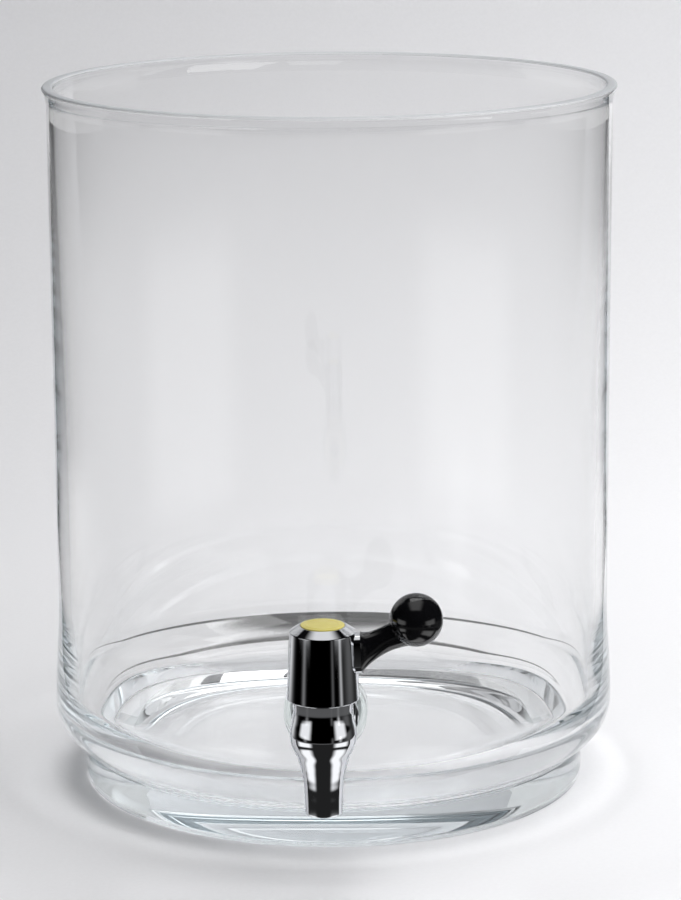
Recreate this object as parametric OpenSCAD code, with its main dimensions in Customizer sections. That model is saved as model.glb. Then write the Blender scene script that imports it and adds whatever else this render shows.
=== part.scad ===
// Glass beverage dispenser with a quarter-turn tap.
// Millimetres, +Z up. The origin is the centre of the foot's underside and the tap points to -Y.
// The handle is drawn shut: its lever points to +X, and it opens by a quarter turn towards -Y.

/* [Vessel] */
// Outer radius of the straight wall
vessel_r = 125; // [110:1:140]
// Height from the table to the lip
vessel_h = 316; // [240:2:380]
// Thickness of the glass wall at the tap
wall_t = 5.5; // [4.5:0.25:7]
// Thickness of the wall below the lip
wall_top_t = 3; // [2.5:0.25:4.5]
// Height above the tap's hole where the wall starts to thin
thin_rise = 30; // [24:1:60]
// How far the lip stands out past the wall
lip_flare = 2.5; // [1:0.25:4]
// Height of the flared stretch below the lip
lip_h = 9; // [6:0.5:16]
// Rounding of the lip's two edges
lip_edge = 1.2; // [0.6:0.1:1.8]

/* [Heel and foot] */
// How far the heel swells past the wall
heel_swell = 2.2; // [0.6:0.1:3]
// Height of the heel's widest ring
heel_z = 36; // [33:0.5:39]
// Height over which the swell fades into the wall
swell_h = 49; // [36:1:70]
// Radius of the heel's rounding
heel_round = 18; // [16:0.5:20]
// How far the foot's side lies inside the wall
foot_inset = 11; // [9:0.5:13]
// Fillet between heel and foot
foot_fillet = 4; // [2.5:0.25:5]
// Rounding of the foot's lower edge
foot_edge = 1.5; // [0.5:0.25:3]
// Width of the ring that the foot stands on
foot_ring_w = 14; // [8:1:24]
// Rise of the hollow under the base
push_up = 2; // [1:0.25:4]
// Height of the floor inside
floor_z = 14; // [12:0.5:16]
// Width of the rounding between floor and wall inside
floor_round_w = 55; // [30:1:80]
// Height of the rounding between floor and wall inside
floor_round_h = 33; // [24:0.5:33]

/* [Tap place] */
// Height of the tap's inlet above the table
tap_z = 65; // [60:1:120]
// Distance from the glass to the tap's upright axis
tap_reach = 34.4; // [31:0.2:45]

/* [Tap body] */
// Radius of the bulb at the inlet
bulb_r = 14; // [13.6:0.1:16]
// Radius of the neck under the cap
neck_r = 12.4; // [11.9:0.1:12.6]
// Height of the neck's top above the inlet
neck_h = 23; // [21.5:0.25:24]
// Height of the bulb's shoulder above the inlet
shoulder_h = 9; // [7:0.25:12]
// How far the shoulder steps out past the neck
shoulder_step = 0.6; // [0.3:0.1:1]
// Radius of the spout where the bulb has run out
spout_r = 8.4; // [8:0.1:9.2]
// Radius of the spout's tip
tip_r = 7.5; // [7:0.1:8]
// Drop from the inlet to the spout's tip
spout_drop = 32.5; // [26:0.5:40]
// Length of the curve from bulb to spout
waist_h = 17; // [14:0.5:20]
// Rounding of the spout's tip
tip_edge = 0.6; // [0.3:0.1:0.9]
// Radius of the bore in the spout
outlet_r = 5.2; // [4:0.1:5.8]
// Radius of the barrel between tap and glass
barrel_r = 10.5; // [9.5:0.25:12]
// Radius of the flange against the gasket
flange_r = 14.2; // [13:0.2:16]
// Thickness of the flange
flange_t = 3; // [2:0.25:4]
// Fillet between barrel and flange
flange_fillet = 3; // [1:0.25:3.5]
// Radius of the threaded shank
shank_r = 8; // [7:0.25:9]
// Thread that stands past the lock nut
shank_end = 2; // [1:0.5:6]

/* [Gaskets and nut] */
// Radius of both gaskets
gasket_r = 17.5; // [15:0.25:20]
// Thickness of each gasket on the tap's axis
gasket_t = 3; // [2.5:0.25:5]
// Wall of the outer gasket's collar in the hole
collar_t = 0.9; // [0.6:0.1:1.5]
// Radius of the slip washer
slip_r = 15; // [13:0.25:17]
// Thickness of the slip washer
slip_t = 1.5; // [1:0.25:2.5]
// Width of the lock nut across its flats
nut_af = 24; // [21:0.5:27]
// Height of the lock nut
nut_h = 8; // [6:0.5:12]

/* [Valve] */
// Radius of the bore that the plug turns in
chamber_r = 8; // [7.6:0.1:8.4]
// Depth of that bore below the inlet
chamber_drop = 9; // [8.4:0.1:9.4]
// Radius of the inlet bore and of the plug's port
port_r = 3.6; // [3:0.1:4]
// Radius of the seat ring
seat_r = 5.2; // [4.8:0.1:5.6]
// Length of the seat ring
seat_t = 2.4; // [2:0.1:3]
// Thickness of the two plug rings
ring_d = 1.6; // [1.2:0.1:1.8]
// Radius of the bonnet's threaded plug
bonnet_r = 9.5; // [9:0.1:9.8]
// Depth that the bonnet screws into the neck
bonnet_depth = 7; // [5:0.25:8]
// Radius of the bonnet's flange
bonnet_flange_r = 10.4; // [10.1:0.1:10.6]
// Thickness of the bonnet's flange
bonnet_flange_t = 1.4; // [1:0.1:2]
// Width of the bonnet's hexagon across its flats
bonnet_af = 15; // [13:0.25:16.5]
// Height of the bonnet's hexagon
bonnet_hex_h = 3.4; // [2:0.1:4]
// Thickness of the thrust washer
thrust_t = 0.8; // [0.5:0.1:1.5]
// Radius of the stem
stem_r = 4.5; // [4:0.1:5]
// Width of the stem's square
square_w = 6.3; // [5.4:0.1:6.3]
// Length of the stem's square
square_h = 9; // [6:0.5:10]

/* [Handle cap] */
// Height of the cap's lower edge above the inlet
cap_lift = 17; // [16:0.25:18]
// Height of the cap
cap_h = 31; // [30:0.25:38]
// Radius of the cap's lower edge
cap_r = 15.1; // [14.8:0.1:16.5]
// Radius of the cap under its top shoulder
cap_top_r = 13.6; // [13.3:0.1:15]
// Height of the sloping shoulder round the disc
cap_shoulder_h = 2.6; // [1.6:0.1:3.2]
// Thickness of the cap's side
cap_wall = 1.7; // [1.3:0.1:1.9]
// Rounding of the cap's lower edge and crown
cap_edge = 0.5; // [0.2:0.1:0.8]
// Rim left between the disc and the shoulder
disc_rim = 0.6; // [0.4:0.1:1]
// Radius of the index disc
disc_r = 9.1; // [8:0.1:9.6]
// Depth that the index disc is let into the cap
disc_seat = 1.2; // [0.8:0.1:1.6]
// How far the index disc stands above the cap
disc_proud = 0.7; // [0.3:0.1:1.2]
// Height of the index disc's dome
disc_dome = 0.4; // [0.2:0.1:0.8]
// Radius of the cap's hub on the stem
hub_r = 7; // [6:0.1:7.3]
// Thickness of the web between stem and screw
web_t = 3.4; // [2:0.2:5]

/* [Handle screw] */
// Radius of the handle screw's thread
screw_r = 2; // [1.5:0.1:2.3]
// Radius of its head
screw_head_r = 3.8; // [3:0.1:4.5]
// Height of its head
screw_head_h = 2.2; // [1.6:0.1:3]
// Length of thread in the stem
screw_grip = 8; // [5:0.5:12]
// Thickness of the spring washer
spring_t = 1; // [0.6:0.1:1.4]

/* [Stops] */
// Turn from shut to open, in degrees
turn = 90; // [80:1:100]
// Width of the stop lug, in degrees
lug_angle = 16; // [10:1:24]
// Height of the stop lug above the neck
lug_h = 4; // [2.5:0.25:4.5]
// Width of each stop rib in the cap, in degrees
rib_angle = 12; // [8:1:20]
// Slack at each end of the turn, in degrees
stop_slack = 1.5; // [1:0.25:3]

/* [Lever] */
// Distance from the tap's axis to the ball's centre
ball_reach = 38.2; // [34:0.2:50]
// Height of the ball's centre above the cap's lower edge
ball_rise = 33.25; // [30:0.25:40]
// Radius of the ball
ball_r = 11; // [9:0.25:13]
// Height of the lever's root centre above the cap's lower edge
root_rise = 19.4; // [19:0.1:20]
// Height of the lever's root
root_h = 16.5; // [14:0.25:17.5]
// Width of the lever's root
root_w = 11; // [9:0.25:12]
// Height of the lever's waist
waist_depth = 9.8; // [8:0.2:12]
// Width of the lever's waist
waist_w = 7.6; // [6:0.2:9]
// Height of the arm where it runs out in the ball
arm_end_h = 15; // [12:0.5:16]
// Width of the arm where it runs out in the ball
arm_end_w = 13; // [10:0.5:15]
// Slope of the arm as it leaves the boss, in degrees
arm_start = 36; // [25:1:45]
// Slope of the arm at the ball, in degrees
arm_angle = 22; // [15:1:30]
// How far the boss for the lever stands off the cap
boss_proud = 1.6; // [0.8:0.1:2.5]
// Height of the lever's tenon
tenon_h = 6; // [5:0.25:7]
// Width of the lever's tenon
tenon_w = 6; // [5:0.25:7]
// Wall of the tenon's socket inside the cap
socket_t = 2.4; // [1.6:0.1:3]
// Radius of the lever screw's thread
lever_screw_r = 1.4; // [1:0.1:1.8]
// Radius of the lever screw's head
lever_head_r = 2.4; // [2:0.1:2.6]
// Height of the lever screw's head
lever_head_h = 1.6; // [1:0.1:2]

/* [Clearances] */
// Running clearance of plug, stem and rings, on radius
run_gap = 0.05; // [0.02:0.01:0.1]
// End play of the spindle
end_gap = 0.15; // [0.05:0.05:0.3]
// Gap at parts that are screwed or slipped together
fit_gap = 0.1; // [0.05:0.01:0.2]
// Gap between the soft gaskets and the curved glass
seat_gap = 0.02; // [0.01:0.01:0.05]

/* [Hidden] */
$fn = 96;

glass = [0.85, 0.91, 0.91, 0.35];
chrome = [0.82, 0.83, 0.85];
silicone = [0.88, 0.91, 0.9, 0.6];
nylon = [0.93, 0.93, 0.9];
steel = [0.7, 0.71, 0.72];
acetal = [0.9, 0.9, 0.88];
rubber = [0.12, 0.12, 0.12];
brass = [0.78, 0.64, 0.32];
yellow = [0.86, 0.8, 0.36];
black = [0.03, 0.03, 0.035];

// A cut runs this far past the face it opens
past = 1;
// Steps in a full turn of the wide vessel, where small pieces are cut to its round side
vessel_fn = 720;

// Points of an arc round [r, z], from angle a to angle b
function arc(r, z, radius, a, b, steps) =
    [for (i = [0:steps]) let (t = a + (b - a) * i / steps) [r + radius * cos(t), z + radius * sin(t)]];
// Slow start and slow end, from 0 to 1
function ease(t) = (1 - cos(180 * t)) / 2;

// Vessel
inner_r = vessel_r - wall_t;
inner_top_r = vessel_r - wall_top_t;
thin_z = tap_z + thin_rise;
foot_r = vessel_r - foot_inset;
heel_r = vessel_r + heel_swell;
heel_axis_r = heel_r - heel_round;
fillet_axis_r = foot_r + foot_fillet;
fillet_drop = sqrt(pow(heel_round + foot_fillet, 2) - pow(fillet_axis_r - heel_axis_r, 2));
fillet_z = heel_z - fillet_drop;
heel_end = atan2(-fillet_drop, fillet_axis_r - heel_axis_r);
hollow_r = foot_r - foot_ring_w;
hollow_round = (pow(hollow_r, 2) + pow(push_up, 2)) / (2 * push_up);
hollow_angle = asin(hollow_r / hollow_round);
lip_z = vessel_h - lip_h;
// The rounding ends below the inner gasket
floor_rise = min(floor_round_h, tap_z - gasket_r - floor_z);
// Outer radius of the wall at height z above the heel
function wall_r(z) = vessel_r + heel_swell * (1 - ease(min(1, max(0, (z - heel_z) / swell_h))));
// Inner radius of the wall at a share t of the way from where it starts to thin up to the lip
function inner_wall(t) = inner_r + (inner_top_r - inner_r) * ease(t);
// How far the lip has flared at height z
function flare(z) = lip_flare * pow(max(0, z - lip_z) / lip_h, 2);
// Steps along each curve of the outlines
edge_steps = 4;
fillet_steps = 6;
round_steps = 14;
floor_steps = 20;
swell_steps = 14;
flare_steps = 6;
flare_top = vessel_h - lip_edge;

// Places along the inlet, measured from the tap's upright axis towards the vessel
glass_front = wall_r(tap_z);
glass_back = glass_front - inner_r + tap_reach;
tap_y = -(glass_front + tap_reach);
flange_face = tap_reach - gasket_t;
gasket_back = glass_back + gasket_t;
slip_back = gasket_back + slip_t;
nut_back = slip_back + nut_h;
shank_back = nut_back + shank_end;
hole_r = shank_r + collar_t + 2 * fit_gap;

// Places along the tap's upright axis, measured from the inlet
plug_r = chamber_r - run_gap;
plug_bottom = end_gap - chamber_drop;
bonnet_bottom = neck_h - bonnet_depth;
plug_top = bonnet_bottom - thrust_t - end_gap;
lower_ring_z = -(seat_r - plug_bottom) / 2;
upper_ring_z = (seat_r + plug_top) / 2;
cap_top = cap_lift + cap_h;
cap_side_top = cap_top - cap_shoulder_h;
disc_bottom = cap_top - disc_seat;
pocket_h = spring_t + screw_head_h + fit_gap;
pocket_bottom = disc_bottom - pocket_h;
stem_top = pocket_bottom - web_t;
cavity_top = pocket_bottom - web_t / 4;
taper = (cap_r - cap_top_r) / (cap_side_top - cap_lift);
taper_angle = atan(taper);
// Outer radius of the cap's side at height z above the inlet
function cap_side(z) = cap_r - taper * (z - cap_lift);
lug_r = neck_r - fit_gap;
rib_r = bonnet_flange_r + 3 * fit_gap;
rib_bottom = neck_h + 4 * fit_gap;
// Where the stop lug stands round the neck, clear of the barrel and of the lever's socket
lug_at = 150;

// Lever
root_z = cap_lift + root_rise;
root_x = cap_side(root_z) + boss_proud;
ball_z = cap_lift + ball_rise;
tenon_x = hub_r + 5 * fit_gap;
socket_bottom = root_z - tenon_h / 2 - socket_t;
screw_land = root_z + tenon_h / 2;
// The screw's head has the same room on both sides, between hub and cap
lever_screw_x = (hub_r + cap_side(socket_bottom) - cap_wall) / 2;

// Grooves and rings
groove_r = plug_r - ring_d;
groove_h = ring_d + 3 * fit_gap;
backing_d = seat_r - port_r - fit_gap;
backing_r = (seat_r + port_r) / 2;
backing_y = chamber_r + seat_t + backing_d / 2;
seat_socket_end = backing_y + backing_d / 2;

module at_tap() {
    translate([0, tap_y, tap_z]) children();
}

// Children's +Z runs from the tap's upright axis into the vessel
module along_inlet() {
    at_tap() rotate([-90, 0, 0]) children();
}

module tube(outer, inner, h) {
    difference() {
        cylinder(r = outer, h = h);
        translate([0, 0, -past]) cylinder(r = inner, h = h + 2 * past);
    }
}

// Part of a ring between two angles
module sector(r0, r1, from, angle, z0, z1) {
    rotate([0, 0, from]) rotate_extrude(angle = angle) translate([r0, z0]) square([r1 - r0, z1 - z0]);
}

module hexagon(af, h) {
    cylinder(r = af / 2 / cos(30), h = h, $fn = 6);
}

module round_section(h, w, r) {
    square([h - 2 * r, w], center = true);
    square([h, w - 2 * r], center = true);
    for (x = [r - h / 2, h / 2 - r], y = [r - w / 2, w / 2 - r])
        translate([x, y]) circle(r = r);
}

// Underside, foot, heel, wall and lip of the vessel, from the axis outwards and up
outer_line = concat(
    [for (i = [0:fillet_steps]) let (a = hollow_angle * i / fillet_steps)
        [hollow_round * sin(a), push_up - hollow_round * (1 - cos(a))]],
    arc(foot_r - foot_edge, foot_edge, foot_edge, -90, 0, edge_steps),
    arc(fillet_axis_r, fillet_z, foot_fillet, 180, 180 + heel_end, fillet_steps),
    arc(heel_axis_r, heel_z, heel_round, heel_end, 0, round_steps),
    [for (i = [1:swell_steps]) let (z = heel_z + swell_h * i / swell_steps) [wall_r(z), z]],
    [for (i = [0:flare_steps]) let (z = lip_z + (flare_top - lip_z) * i / flare_steps)
        [vessel_r + flare(z), z]],
    arc(vessel_r + flare(flare_top) - lip_edge, flare_top, lip_edge, 15, 90, edge_steps)
);

// Lip, wall and floor inside, from the lip down to the axis
inner_line = concat(
    arc(inner_top_r + lip_edge, flare_top, lip_edge, 90, 180, edge_steps),
    [for (i = [0:swell_steps]) let (t = 1 - i / swell_steps)
        [inner_wall(t), thin_z + (lip_z - thin_z) * t]],
    [for (i = [0:floor_steps]) let (a = 90 * i / floor_steps)
        [inner_r - floor_round_w * (1 - cos(a)), floor_z + floor_rise * (1 - sin(a))]],
    [[0, floor_z]]
);

// The space that the vessel's outside fills, grown by a gap
module vessel_outside(gap) {
    rotate_extrude($fn = vessel_fn) polygon(concat(
        [[0, floor_z]],
        [[heel_r + gap, floor_z]],
        [for (i = [0:swell_steps]) let (z = heel_z + swell_h * i / swell_steps) [wall_r(z) + gap, z]],
        [[vessel_r + gap, lip_z], [0, lip_z]]
    ));
}

module glass_vessel() {
    color(glass) difference() {
        rotate_extrude() polygon(concat(outer_line, inner_line));
        along_inlet() translate([0, 0, flange_face])
            cylinder(r = hole_r, h = gasket_back - flange_face);
    }
}

// The bulb's half outline from the spout's tip up to the neck, fuller towards the bulb
waist_steps = 12;
waist_skew = 1.35;
function waist_line(t) = spout_r + (bulb_r - spout_r) * ease(pow(t, waist_skew));
shoulder_r = neck_r + shoulder_step;
body_line = concat(
    [[0, -spout_drop]],
    arc(tip_r - tip_edge, tip_edge - spout_drop, tip_edge, -90, 0, edge_steps),
    [for (i = [0:waist_steps]) let (t = i / waist_steps) [waist_line(t), -waist_h * (1 - t)]],
    [for (i = [1:edge_steps]) let (t = i / edge_steps)
        [bulb_r - (bulb_r - shoulder_r) * t * t, shoulder_h * t]],
    [[neck_r, shoulder_h + shoulder_step], [neck_r, neck_h], [0, neck_h]]
);

// The bulb starts its turn at the front and the barrel between its quarters, so no seams cross
body_start = -90;
barrel_start = 45;
// The barrel's half outline, from inside the bulb to the flange's face
barrel_from = chamber_r / 2;
barrel_line = concat(
    [[0, barrel_from], [barrel_r, barrel_from]],
    arc(barrel_r + flange_fillet, flange_face - flange_t - flange_fillet, flange_fillet,
        180, 90, fillet_steps),
    arc(flange_r - tip_edge, flange_face - flange_t + tip_edge, tip_edge, -90, 0, edge_steps),
    [[flange_r, flange_face], [0, flange_face]]
);

module tap_body() {
    color(chrome) difference() {
        union() {
            at_tap() rotate([0, 0, body_start]) rotate_extrude() polygon(body_line);
            along_inlet() rotate([0, 0, barrel_start]) rotate_extrude() polygon(barrel_line);
            along_inlet() translate([0, 0, flange_face - flange_t])
                cylinder(r = shank_r, h = shank_back - flange_face + flange_t);
            at_tap()
                sector(rib_r, lug_r, lug_at - lug_angle / 2, lug_angle, bonnet_bottom, neck_h + lug_h);
        }
        at_tap() translate([0, 0, -chamber_drop]) cylinder(r = chamber_r, h = chamber_drop + neck_h);
        at_tap() translate([0, 0, bonnet_bottom]) cylinder(r = bonnet_r, h = bonnet_depth + past);
        at_tap() translate([0, 0, -spout_drop - past])
            cylinder(r = outlet_r, h = spout_drop - chamber_drop + 2 * past);
        along_inlet() translate([0, 0, barrel_from]) cylinder(r = port_r, h = shank_back);
        along_inlet() translate([0, 0, barrel_from])
            cylinder(r = seat_r + fit_gap, h = seat_socket_end - barrel_from);
    }
}

// A soft washer with a collar that centres the shank in the drilled hole
module outer_gasket() {
    color(silicone) {
        difference() {
            along_inlet() translate([0, 0, flange_face])
                tube(gasket_r, shank_r + fit_gap, gasket_t + gasket_r * gasket_r / vessel_r);
            vessel_outside(seat_gap);
        }
        along_inlet() translate([0, 0, flange_face])
            tube(shank_r + fit_gap + collar_t, shank_r + fit_gap, glass_back - flange_face);
    }
}

module inner_gasket() {
    color(silicone) intersection() {
        along_inlet() translate([0, 0, tap_reach])
            tube(gasket_r, shank_r + fit_gap, gasket_back - tap_reach);
        cylinder(r = inner_r - seat_gap, h = vessel_h, $fn = vessel_fn);
    }
}

module slip_washer() {
    color(steel) along_inlet() translate([0, 0, gasket_back]) tube(slip_r, shank_r + fit_gap, slip_t);
}

module lock_nut() {
    corner_r = nut_af / 2 / cos(30);
    bevel = (corner_r - nut_af / 2) / 2;
    color(nylon) along_inlet() translate([0, 0, slip_back]) difference() {
        intersection() {
            hexagon(nut_af, nut_h);
            cylinder(r1 = corner_r + nut_h - bevel, r2 = corner_r - bevel, h = nut_h);
        }
        translate([0, 0, -past]) cylinder(r = shank_r + fit_gap / 2, h = nut_h + 2 * past);
    }
}

// Plug with an L-shaped port: down the middle and out of the side, away from the lever
module valve_spindle() {
    color(acetal) at_tap() difference() {
        union() {
            translate([0, 0, plug_bottom]) cylinder(r = plug_r, h = plug_top - plug_bottom);
            cylinder(r = stem_r, h = stem_top - square_h);
            intersection() {
                cylinder(r = stem_r, h = stem_top);
                translate([-square_w / 2, -square_w / 2, 0]) cube([square_w, square_w, stem_top]);
            }
        }
        for (z = [lower_ring_z, upper_ring_z])
            translate([0, 0, z - groove_h / 2]) tube(plug_r + past, groove_r, groove_h);
        translate([0, 0, plug_bottom - past]) cylinder(r = port_r, h = past - plug_bottom + port_r);
        rotate([0, -90, 0]) cylinder(r = port_r, h = plug_r + past);
        translate([0, 0, stem_top - screw_grip])
            cylinder(r = screw_r + fit_gap / 2, h = screw_grip + past);
    }
}

module plug_ring(z) {
    color(rubber) at_tap() translate([0, 0, z]) rotate_extrude()
        translate([groove_r + ring_d / 2, 0]) circle(r = ring_d / 2);
}

module lower_o_ring() {
    plug_ring(lower_ring_z);
}

module upper_o_ring() {
    plug_ring(upper_ring_z);
}

// Its face is hollowed to the plug's round side
module seat_ring() {
    color(nylon) difference() {
        along_inlet() tube(seat_r, port_r, chamber_r + seat_t);
        at_tap() translate([0, 0, -chamber_drop]) cylinder(r = chamber_r, h = 2 * chamber_drop);
    }
}

module seat_backing_ring() {
    color(rubber) along_inlet() translate([0, 0, backing_y]) rotate_extrude()
        translate([backing_r, 0]) circle(r = backing_d / 2);
}

module thrust_washer() {
    color(nylon) at_tap() translate([0, 0, bonnet_bottom - thrust_t])
        tube(chamber_r - fit_gap, stem_r + fit_gap, thrust_t);
}

module bonnet_nut() {
    color(brass) at_tap() difference() {
        union() {
            translate([0, 0, bonnet_bottom]) cylinder(r = bonnet_r - fit_gap / 2, h = bonnet_depth);
            translate([0, 0, neck_h]) cylinder(r = bonnet_flange_r, h = bonnet_flange_t);
            translate([0, 0, neck_h]) hexagon(bonnet_af, bonnet_flange_t + bonnet_hex_h);
        }
        cylinder(r = stem_r + run_gap, h = cap_top);
    }
}

// The cap's half outline: lower edge, sloping side, crown and shoulder
cap_mouth_r = disc_r + fit_gap + disc_rim;
shoulder_angle = atan2(cap_top_r - cap_mouth_r, cap_shoulder_h);
side_normal = [cos(taper_angle), sin(taper_angle)];
shoulder_normal = [cos(shoulder_angle), sin(shoulder_angle)];
crown = [cap_top_r, cap_side_top]
    - cap_edge * (side_normal + shoulder_normal) / (1 + side_normal * shoulder_normal);
cap_line = concat(
    [[0, cap_lift]],
    arc(cap_side(cap_lift + cap_edge) - cap_edge, cap_lift + cap_edge, cap_edge, -90, 0, edge_steps),
    arc(crown[0], crown[1], cap_edge, taper_angle, shoulder_angle, edge_steps),
    [[cap_mouth_r, cap_top], [0, cap_top]]
);

module cap_outside() {
    rotate_extrude() polygon(cap_line);
}

module cap_cavity() {
    rotate_extrude() polygon([
        [0, cap_lift - past], [cap_side(cap_lift - past) - cap_wall, cap_lift - past],
        [cap_side(cavity_top) - cap_wall, cavity_top], [0, cavity_top]
    ]);
}

// A pad on the cap's side, square to its slope, that the lever's root butts against
module lever_boss() {
    translate([root_x, 0, root_z]) rotate([0, -taper_angle, 0]) rotate([0, -90, 0])
        linear_extrude(height = root_x - hub_r) round_section(root_h, root_w, root_w / 3);
}

module stop_ribs() {
    first = lug_at - lug_angle / 2 - stop_slack - rib_angle;
    second = lug_at + lug_angle / 2 + stop_slack + turn;
    for (from = [first, second])
        sector(rib_r, cap_r, from, rib_angle, rib_bottom, cavity_top);
}

module tenon_socket() {
    translate([0, -tenon_w / 2 - socket_t, socket_bottom])
        cube([cap_r, tenon_w + 2 * socket_t, cavity_top - socket_bottom]);
}

module handle_cap() {
    color(chrome) at_tap() difference() {
        union() {
            difference() {
                union() {
                    cap_outside();
                    lever_boss();
                }
                cap_cavity();
            }
            intersection() {
                cap_outside();
                union() {
                    stop_ribs();
                    tenon_socket();
                    translate([0, 0, stem_top - square_h + fit_gap])
                        cylinder(r = hub_r, h = cavity_top - stem_top + square_h);
                }
            }
        }
        translate([0, 0, disc_bottom]) cylinder(r = disc_r + fit_gap, h = disc_seat + past);
        translate([0, 0, pocket_bottom]) cylinder(r = screw_head_r + 3 * fit_gap, h = pocket_h + past);
        cylinder(r = screw_r + fit_gap, h = cap_top);
        translate([-square_w / 2 - fit_gap, -square_w / 2 - fit_gap, 0])
            cube([square_w + 2 * fit_gap, square_w + 2 * fit_gap, stem_top]);
        translate([tenon_x - fit_gap, -tenon_w / 2 - fit_gap, root_z - tenon_h / 2 - fit_gap])
            cube([root_x, tenon_w + 2 * fit_gap, tenon_h + 2 * fit_gap]);
        translate([lever_screw_x, 0, 0]) cylinder(r = lever_screw_r + fit_gap, h = screw_land);
    }
}

module handle_screw() {
    slot_w = screw_head_r / 4;
    slot_d = screw_head_h / 2;
    head_bottom = pocket_bottom + spring_t;
    color(steel) at_tap() difference() {
        union() {
            translate([0, 0, stem_top - screw_grip + fit_gap])
                cylinder(r = screw_r, h = screw_grip + web_t + spring_t);
            translate([0, 0, head_bottom]) cylinder(r = screw_head_r, h = screw_head_h);
        }
        translate([-screw_head_r - past, -slot_w / 2, head_bottom + screw_head_h - slot_d])
            cube([2 * (screw_head_r + past), slot_w, slot_d + past]);
    }
}

// One split turn of square wire, drawn flat as it is when screwed down
module screw_washer() {
    split = 20;
    color(steel) at_tap() sector(screw_r + fit_gap, screw_head_r, split / 2, 360 - split,
        pocket_bottom, pocket_bottom + spring_t);
}

module index_disc() {
    side_h = disc_seat + disc_proud - disc_dome;
    dome_r = (disc_r * disc_r + disc_dome * disc_dome) / (2 * disc_dome);
    dome_angle = asin(disc_r / dome_r);
    color(yellow) at_tap() translate([0, 0, disc_bottom]) rotate_extrude() polygon(concat(
        [[0, 0], [disc_r, 0]],
        arc(0, side_h + disc_dome - dome_r, dome_r, 90 - dome_angle, 90, fillet_steps)
    ));
}

// The arm is a loft along a curve from the boss to the ball, with rounded-square sections
arm_rings = 16;
arm_sides = 28;
// The sections have turned to the arm's last slope by this share of its length
arm_turned = 0.45;
// Exponent of the root's section: 1 is an ellipse, and smaller is squarer
root_power = 0.5;
arm_from = [root_x, root_z];
arm_end = [ball_reach - ball_r / 11, ball_z - ball_r * 0.3];
arm_bend = norm(arm_end - arm_from) / 3;
arm_c1 = arm_from + arm_bend * [cos(arm_start), sin(arm_start)];
arm_c2 = arm_end - arm_bend * [cos(arm_angle), sin(arm_angle)];
function arm_at(t) = pow(1 - t, 3) * arm_from + 3 * t * pow(1 - t, 2) * arm_c1
    + 3 * t * t * (1 - t) * arm_c2 + pow(t, 3) * arm_end;
function arm_tilt(t) = taper_angle + (arm_angle - taper_angle) * ease(min(1, t / arm_turned));
// Half size of a section: the root's, drawn in to the waist, then widened towards the ball
function arm_half(t, root, waist, end) =
    (waist + (root - waist) * pow(1 - t, 5) + (end - waist) * pow(t, 3)) / 2;
function rounded(c, power) = sign(c) * pow(abs(c), power);
function arm_ring(t) =
    let (
        p = arm_at(t),
        a = arm_tilt(t),
        h = arm_half(t, root_h, waist_depth, arm_end_h),
        w = arm_half(t, root_w, waist_w, arm_end_w),
        power = min(1, root_power + t)
    )
    [for (k = [0:arm_sides - 1])
        let (
            q = 360 * k / arm_sides,
            v = h * rounded(sin(q), power),
            u = w * rounded(cos(q), power)
        )
        [p[0] - v * sin(a), u, p[1] + v * cos(a)]];

module lever_arm() {
    points = [for (i = [0:arm_rings]) each arm_ring(i / arm_rings)];
    sides = [for (i = [0:arm_rings - 1], k = [0:arm_sides - 1])
        let (n = (k + 1) % arm_sides, b = i * arm_sides)
        each [[b + k, b + arm_sides + n, b + n], [b + k, b + arm_sides + k, b + arm_sides + n]]];
    near = [for (k = [0:arm_sides - 1]) k];
    far = [for (k = [arm_sides - 1:-1:0]) arm_rings * arm_sides + k];
    polyhedron(points, concat(sides, [near, far]));
}

module lever() {
    color(black) at_tap() difference() {
        union() {
            lever_arm();
            translate([ball_reach, 0, ball_z]) sphere(r = ball_r);
            translate([tenon_x, -tenon_w / 2, root_z - tenon_h / 2])
                cube([root_x + boss_proud - tenon_x, tenon_w, tenon_h]);
        }
        translate([lever_screw_x, 0, 0])
            cylinder(r = lever_screw_r + fit_gap / 2, h = screw_land - fit_gap);
    }
}

module lever_screw() {
    slot_w = lever_head_r / 4;
    slot_d = lever_head_h / 2;
    color(steel) at_tap() translate([lever_screw_x, 0, socket_bottom]) difference() {
        union() {
            translate([0, 0, -lever_head_h]) cylinder(r = lever_head_r, h = lever_head_h);
            cylinder(r = lever_screw_r, h = socket_t + tenon_h - 3 * fit_gap);
        }
        translate([-lever_head_r - past, -slot_w / 2, -lever_head_h - past])
            cube([2 * (lever_head_r + past), slot_w, slot_d + past]);
    }
}

glass_vessel();
tap_body();
outer_gasket();
inner_gasket();
slip_washer();
lock_nut();
valve_spindle();
lower_o_ring();
upper_o_ring();
seat_ring();
seat_backing_ring();
thrust_washer();
bonnet_nut();
handle_cap();
handle_screw();
screw_washer();
index_disc();
lever();
lever_screw();
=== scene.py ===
"""The glass beverage dispenser as the eye sees it: clear pressed glass, a chromed quarter-turn tap, a
black ball lever and a yellow index disc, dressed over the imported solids."""
import math

import bmesh
import bpy
import numpy as np
from mathutils import Matrix, Vector


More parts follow.
